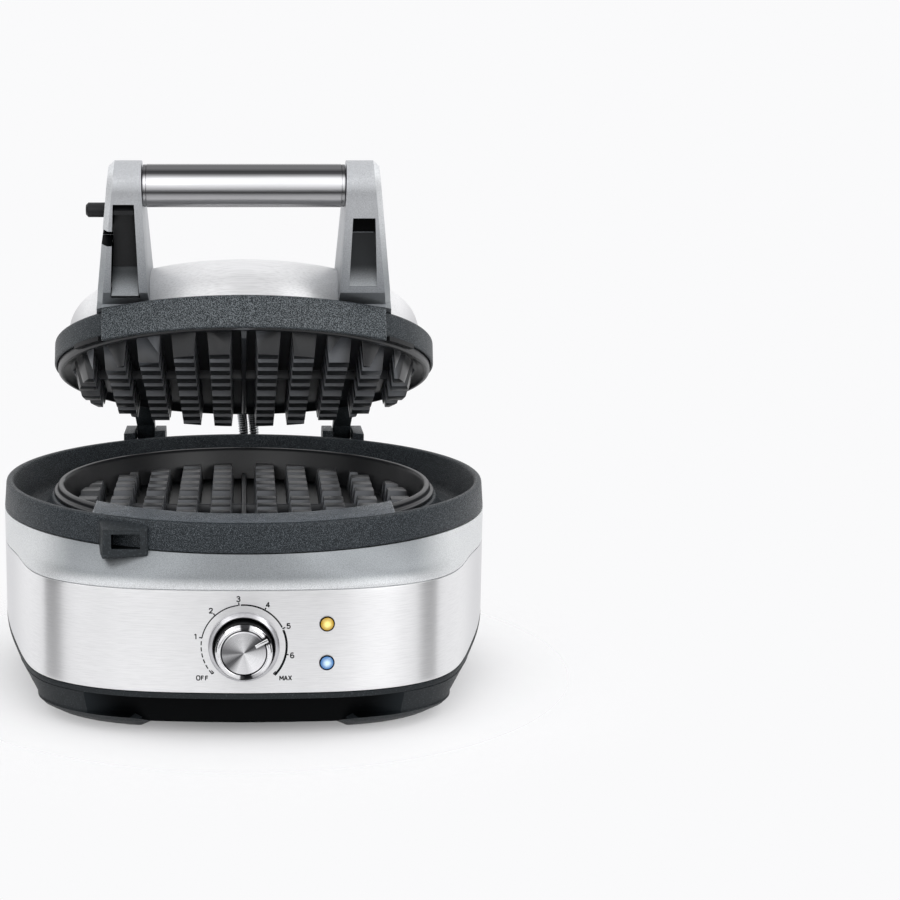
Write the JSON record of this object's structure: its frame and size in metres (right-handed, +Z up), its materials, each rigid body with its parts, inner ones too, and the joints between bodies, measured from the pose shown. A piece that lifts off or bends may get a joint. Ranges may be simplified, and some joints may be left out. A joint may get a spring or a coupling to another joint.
{
  "type": "round waffle maker",
  "caption": "Countertop waffle maker with a round hinged lid, grip tube on two arms, waffle plates, a thermostat dial and a hook latch.",
  "frame": {"origin": "on the floor under the axis of the round bowl", "axes": "+Z up, +Y to the hinge side, -Y to the dial side"},
  "size_m": [0.267, 0.295, 0.2861],
  "materials": {
    "amber_lens": "clear amber",
    "base_screw_1": "zinc plated",
    "base_screw_2": "zinc plated",
    "base_screw_3": "zinc plated",
    "base_screw_4": "zinc plated",
    "base_tray": "matt charcoal",
    "blue_lens": "clear blue",
    "body_band": "brushed stainless steel",
    "bowl_ring": "speckled satin charcoal paint",
    "conduit_boot": "matt black",
    "conduit_gland": "matt charcoal",
    "conduit_spring_left": "zinc plated",
    "conduit_spring_right": "zinc plated",
    "conduit_wire_left": "woven sleeving",
    "conduit_wire_right": "woven sleeving",
    "cord_gland": "matt black",
    "dial_bezel": "brushed stainless steel",
    "dial_disc": "brushed stainless steel",
    "dial_knob": "polished",
    "dial_pointer": "satin silver paint",
    "dial_shaft": "zinc plated",
    "foot_pad_back_left": "matt black",
    "foot_pad_back_right": "matt black",
    "foot_pad_front_left": "matt black",
    "foot_pad_front_right": "matt black",
    "handle_arm_left": "satin metallic paint on die casting",
    "handle_arm_right": "satin metallic paint on die casting",
    "handle_collar_left": "speckled satin charcoal paint",
    "handle_collar_right": "speckled satin charcoal paint",
    "handle_tie_rod": "zinc plated",
    "handle_tube": "polished",
    "hinge_arm_left": "matt black",
    "hinge_arm_right": "matt black",
    "hinge_bracket_left": "speckled satin charcoal paint",
    "hinge_bracket_right": "speckled satin charcoal paint",
    "hinge_pin_left": "zinc plated",
    "hinge_pin_right": "zinc plated",
    "lamp_board": "green board",
    "latch_hook": "matt black",
    "latch_knob": "matt black",
    "latch_pivot_pin": "zinc plated",
    "latch_scoop": "satin metallic paint on die casting",
    "lid_dome": "brushed stainless steel",
    "lid_rim": "speckled satin charcoal paint",
    "lower_element": "zinc plated",
    "lower_plate": "black non-stick coating",
    "lower_reflector": "brushed stainless steel",
    "plate_clip_left": "speckled satin charcoal paint",
    "plate_clip_right": "speckled satin charcoal paint",
    "shoulder_collar": "satin silver paint",
    "terminal_block": "matt",
    "thermostat": "matt",
    "upper_element": "zinc plated",
    "upper_plate": "black non-stick coating",
    "upper_reflector": "brushed stainless steel"
  },
  "bodies": {
    "base": {"amber_lens": "amber_lens", "base_screw_1": "base_screw_1", "base_screw_2": "base_screw_2", "base_screw_3": "base_screw_3", "base_screw_4": "base_screw_4", "base_tray": "base_tray", "blue_lens": "blue_lens", "body_band": "body_band", "bowl_ring": "bowl_ring", "conduit_gland": "conduit_gland", "conduit_spring_left": "conduit_spring_left", "conduit_spring_right": "conduit_spring_right", "conduit_wire_left": "conduit_wire_left", "conduit_wire_right": "conduit_wire_right", "cord_gland": "cord_gland", "dial_bezel": "dial_bezel", "foot_pad_back_left": "foot_pad_back_left", "foot_pad_back_right": "foot_pad_back_right", "foot_pad_front_left": "foot_pad_front_left", "foot_pad_front_right": "foot_pad_front_right", "hinge_bracket_left": "hinge_bracket_left", "hinge_bracket_right": "hinge_bracket_right", "hinge_pin_left": "hinge_pin_left", "hinge_pin_right": "hinge_pin_right", "lamp_board": "lamp_board", "lower_element": "lower_element", "lower_plate": "lower_plate", "lower_reflector": "lower_reflector", "shoulder_collar": "shoulder_collar", "terminal_block": "terminal_block", "thermostat": "thermostat"},
    "lid": {"lid_dome": "lid_dome", "lid_rim": "lid_rim", "upper_plate": "upper_plate", "upper_element": "upper_element", "upper_reflector": "upper_reflector", "hinge_arm_left": "hinge_arm_left", "hinge_arm_right": "hinge_arm_right", "handle_arm_left": "handle_arm_left", "handle_arm_right": "handle_arm_right", "handle_tube": "handle_tube", "handle_tie_rod": "handle_tie_rod", "handle_collar_left": "handle_collar_left", "handle_collar_right": "handle_collar_right", "latch_pivot_pin": "latch_pivot_pin", "conduit_boot": "conduit_boot", "plate_clip_left": "plate_clip_left", "plate_clip_right": "plate_clip_right"},
    "latch": {"latch_hook": "latch_hook", "latch_scoop": "latch_scoop"},
    "latch_slide": {"latch_knob": "latch_knob"},
    "dial": {"dial_knob": "dial_knob", "dial_disc": "dial_disc", "dial_pointer": "dial_pointer", "dial_shaft": "dial_shaft"}
  },
  "joints": [
    {"name": "lid_hinge", "type": "hinge", "parent": "base", "child": "lid", "pos_m": [0, 0.142, 0.108], "axis": [-1, 0, 0], "range_deg": [-21.1, 75], "deforming": ["conduit_spring_left", "conduit_spring_right", "conduit_wire_left", "conduit_wire_right"]},
    {"name": "dial_turn", "type": "hinge", "parent": "base", "child": "dial", "pos_m": [0, -0.135, 0.0481], "axis": [0, 1, 0], "range_deg": [-195, 74]},
    {"name": "latch_flip", "type": "hinge", "parent": "lid", "child": "latch", "pos_m": [-0.0588, -0.07372, 0.2226], "axis": [1, 0, 0], "range_deg": [0, 96.8]},
    {"name": "lock_slide", "type": "slide", "parent": "lid", "child": "latch_slide", "axis": [0, 0.4132, -0.9106], "range_m": [0, 0.0098]}
  ]
}
